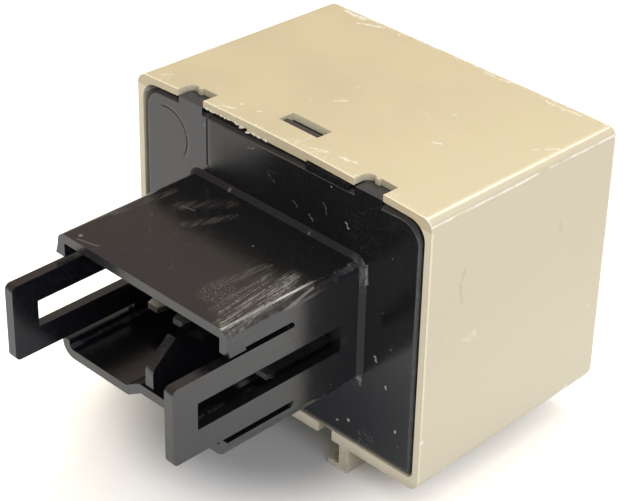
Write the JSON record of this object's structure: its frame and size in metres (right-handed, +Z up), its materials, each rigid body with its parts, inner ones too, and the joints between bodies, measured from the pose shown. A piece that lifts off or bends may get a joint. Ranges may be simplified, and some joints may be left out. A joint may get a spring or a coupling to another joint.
{
  "type": "automotive flasher relay",
  "caption": "Plug-in flasher relay: box cover with bracket rails, clipped over a moulded base with a blade plug and latch arms, and hinged-armature relays inside.",
  "frame": {"origin": "middle of the footprint, on the surface that the bracket rails' feet stand on", "axes": "+Z up from the rails' feet to the face with the snap window, -Y the way the plug faces, +X to the right as seen from the plug"},
  "size_m": [0.04, 0.0516, 0.0341],
  "materials": {
    "cover_plastic": "moulded tan plastic with a soft sheen, edges rubbed pale",
    "base_plastic": "glossy black moulded plastic, lightly scratched",
    "tinned_brass": "tin-plated brass",
    "board_laminate": "green varnished laminate",
    "plated_iron": "nickel-plated soft iron",
    "bobbin_plastic": "natural nylon",
    "copper_wire": "enamelled copper wire",
    "spring_bronze": "bare phosphor bronze",
    "contact_silver": "silver alloy",
    "spring_steel": "bright spring strip",
    "chip_plastic": "moulded epoxy",
    "capacitor_can": "aluminium can in a dark shrunk sleeve",
    "shunt_wire": "bare resistance wire",
    "resistor_coat": "beige lacquer",
    "diode_body": "moulded epoxy"
  },
  "bodies": {
    "housing": {"cover": "cover_plastic", "base": "base_plastic", "lower_blade_1": "tinned_brass", "lower_blade_2": "tinned_brass", "lower_blade_3": "tinned_brass", "lower_blade_4": "tinned_brass", "upper_blade_1": "tinned_brass", "upper_blade_2": "tinned_brass", "upper_blade_3": "tinned_brass", "upper_blade_4": "tinned_brass", "circuit_board": "board_laminate", "yoke_left": "plated_iron", "yoke_right": "plated_iron", "bobbin_left": "bobbin_plastic", "bobbin_right": "bobbin_plastic", "winding_left": "copper_wire", "winding_right": "copper_wire", "core_left": "plated_iron", "core_right": "plated_iron", "lamp_contact_left": "tinned_brass", "lamp_contact_right": "tinned_brass", "rest_contact_left": "tinned_brass", "rest_contact_right": "tinned_brass", "return_spring_left": "spring_steel", "return_spring_right": "spring_steel", "control_chip": "chip_plastic", "timing_capacitor": "capacitor_can", "current_shunt": "shunt_wire", "resistor_left": "resistor_coat", "resistor_right": "resistor_coat", "diode_left": "diode_body", "diode_right": "diode_body"},
    "left_armature": {"armature_left": "plated_iron", "contact_leaf_left": "spring_bronze", "moving_contact_left": "contact_silver"},
    "right_armature": {"armature_right": "plated_iron", "contact_leaf_right": "spring_bronze", "moving_contact_right": "contact_silver"}
  },
  "joints": [
    {"name": "left_armature_hinge", "type": "hinge", "parent": "housing", "child": "left_armature", "pos_m": [-0.0102, 0.02065, 0.02425], "axis": [1, 0, 0], "range_deg": [0, 3.2], "stiffness_Nm_per_rad": 0.005, "springref_deg": -6.88, "deforming": ["return_spring_left"]},
    {"name": "right_armature_hinge", "type": "hinge", "parent": "housing", "child": "right_armature", "pos_m": [0.0102, 0.02065, 0.02425], "axis": [1, 0, 0], "range_deg": [0, 3.2], "stiffness_Nm_per_rad": 0.005, "springref_deg": -6.88, "deforming": ["return_spring_right"]}
  ]
}
